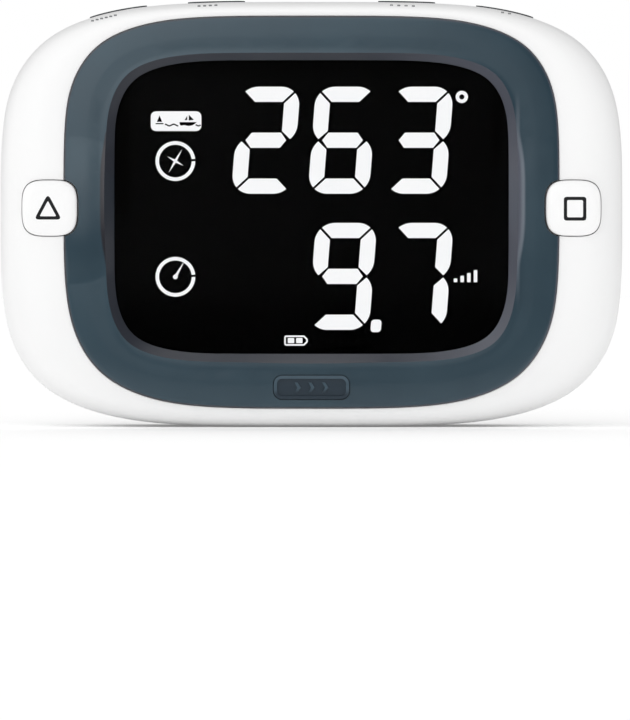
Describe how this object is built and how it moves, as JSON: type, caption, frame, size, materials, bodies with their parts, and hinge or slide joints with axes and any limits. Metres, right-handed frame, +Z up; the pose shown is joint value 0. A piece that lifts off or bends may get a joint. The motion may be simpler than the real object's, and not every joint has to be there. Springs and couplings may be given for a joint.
{
  "type": "sailing speed and heading display",
  "caption": "Waterproof handheld or mast-mounted sailing display with segment readout, press keys, a cell compartment and threaded mounting inserts.",
  "frame": {"origin": "Middle of the rear mounting pad, at the centre of its four threaded inserts", "axes": "+X to the right as seen from the front, +Y to the rear, +Z up; the display looks along -Y"},
  "size_m": [0.15, 0.0402, 0.1029],
  "materials": {
    "case_white": "satin moulded white plastic",
    "seal_rubber": "black silicone",
    "screw_steel": "stainless steel",
    "insert_brass": "turned brass",
    "vent_grey": "dark grey plastic",
    "bezel_slate": "slate blue elastomer, satin",
    "window_glass": "clear hard-coated window with a black border",
    "frame_black": "black moulded frame",
    "display_glass": "black negative segment display",
    "guide_clear": "frosted acrylic",
    "led_white": "white lamp body",
    "button_white": "satin white cap",
    "plunger_black": "black plunger",
    "switch_metal": "dark switch housing",
    "board_green": "green solder mask",
    "ribbon_amber": "amber polyimide",
    "socket_ivory": "ivory connector",
    "chip_black": "black moulded packages",
    "antenna_ceramic": "ceramic patch with a silvered face",
    "shield_tin": "tinned can",
    "buzzer_black": "black sounder",
    "cell_skin": "plain printed sleeve",
    "contact_nickel": "nickel plated spring strip",
    "key_charcoal": "charcoal silicone key"
  },
  "bodies": {
    "casing": {"front_case": "case_white", "rear_case": "case_white", "case_gasket": "seal_rubber", "case_screws": "screw_steel", "case_screw_inserts": "insert_brass", "vent_plug": "vent_grey", "bezel": "bezel_slate", "display_window": "window_glass", "window_seal": "seal_rubber", "display_frame": "frame_black", "display_front_glass": "display_glass", "display_rear_glass": "display_glass", "light_guide": "guide_clear", "backlight_leds": "led_white", "connector_strip": "seal_rubber", "key_switches": "switch_metal", "top_switches": "switch_metal", "top_switch_board_left": "board_green", "top_switch_board_right": "board_green", "ribbon_cables": "ribbon_amber", "ribbon_sockets": "socket_ivory", "main_board": "board_green", "board_screws": "screw_steel", "board_components": "chip_black", "satellite_antenna": "antenna_ceramic", "receiver_shield": "shield_tin", "buzzer": "buzzer_black", "cells": "cell_skin", "cell_contact_upper": "contact_nickel", "cell_contact_lower": "contact_nickel", "cell_bridge": "contact_nickel", "door_screw_inserts": "insert_brass", "mount_inserts": "insert_brass"},
    "pin_button": {"pin_button": "button_white", "pin_button_ring": "seal_rubber", "pin_button_clip": "screw_steel", "pin_switch_plunger": "plunger_black"},
    "boat_button": {"boat_button": "button_white", "boat_button_ring": "seal_rubber", "boat_button_clip": "screw_steel", "boat_switch_plunger": "plunger_black"},
    "start_key": {"start_key": "bezel_slate", "start_key_ring": "seal_rubber", "start_key_clip": "screw_steel", "start_switch_plunger": "plunger_black"},
    "battery_door": {"battery_door": "case_white", "door_gasket": "seal_rubber"},
    "door_screw_left": {"door_screw_left": "screw_steel", "door_screw_clip_left": "screw_steel"},
    "door_screw_right": {"door_screw_right": "screw_steel", "door_screw_clip_right": "screw_steel"},
    "top_key_1": {"top_key_1": "key_charcoal", "top_switch_plunger_1": "plunger_black"},
    "top_key_2": {"top_key_2": "key_charcoal", "top_switch_plunger_2": "plunger_black"},
    "top_key_3": {"top_key_3": "key_charcoal", "top_switch_plunger_3": "plunger_black"},
    "top_key_4": {"top_key_4": "key_charcoal", "top_switch_plunger_4": "plunger_black"}
  },
  "joints": [
    {"name": "pin_button_press", "type": "slide", "parent": "casing", "child": "pin_button", "axis": [0, 1, 0], "range_m": [0, 0.0006], "stiffness_N_per_m": 1500, "springref_m": -0.0008},
    {"name": "boat_button_press", "type": "slide", "parent": "casing", "child": "boat_button", "axis": [0, 1, 0], "range_m": [0, 0.0006], "stiffness_N_per_m": 1500, "springref_m": -0.0008},
    {"name": "start_key_press", "type": "slide", "parent": "casing", "child": "start_key", "axis": [0, 1, 0], "range_m": [0, 0.0006], "stiffness_N_per_m": 1500, "springref_m": -0.0008},
    {"name": "top_key_1_press", "type": "slide", "parent": "casing", "child": "top_key_1", "axis": [0, 0, -1], "range_m": [0, 0.0006], "stiffness_N_per_m": 1200, "springref_m": -0.0008},
    {"name": "top_key_2_press", "type": "slide", "parent": "casing", "child": "top_key_2", "axis": [0, 0, -1], "range_m": [0, 0.0006], "stiffness_N_per_m": 1200, "springref_m": -0.0008},
    {"name": "top_key_3_press", "type": "slide", "parent": "casing", "child": "top_key_3", "axis": [0, 0, -1], "range_m": [0, 0.0006], "stiffness_N_per_m": 1200, "springref_m": -0.0008},
    {"name": "top_key_4_press", "type": "slide", "parent": "casing", "child": "top_key_4", "axis": [0, 0, -1], "range_m": [0, 0.0006], "stiffness_N_per_m": 1200, "springref_m": -0.0008},
    {"name": "battery_door_lift", "type": "slide", "parent": "casing", "child": "battery_door", "axis": [0, 1, 0], "range_m": [0, 0.03]},
    {"name": "door_screw_left_turn", "type": "hinge", "parent": "battery_door", "child": "door_screw_left", "pos_m": [-0.0365, -0.0025, -0.0395], "axis": [0, 1, 0], "continuous": true},
    {"name": "door_screw_right_turn", "type": "hinge", "parent": "battery_door", "child": "door_screw_right", "pos_m": [0.0365, -0.0025, -0.0395], "axis": [0, 1, 0], "continuous": true}
  ]
}
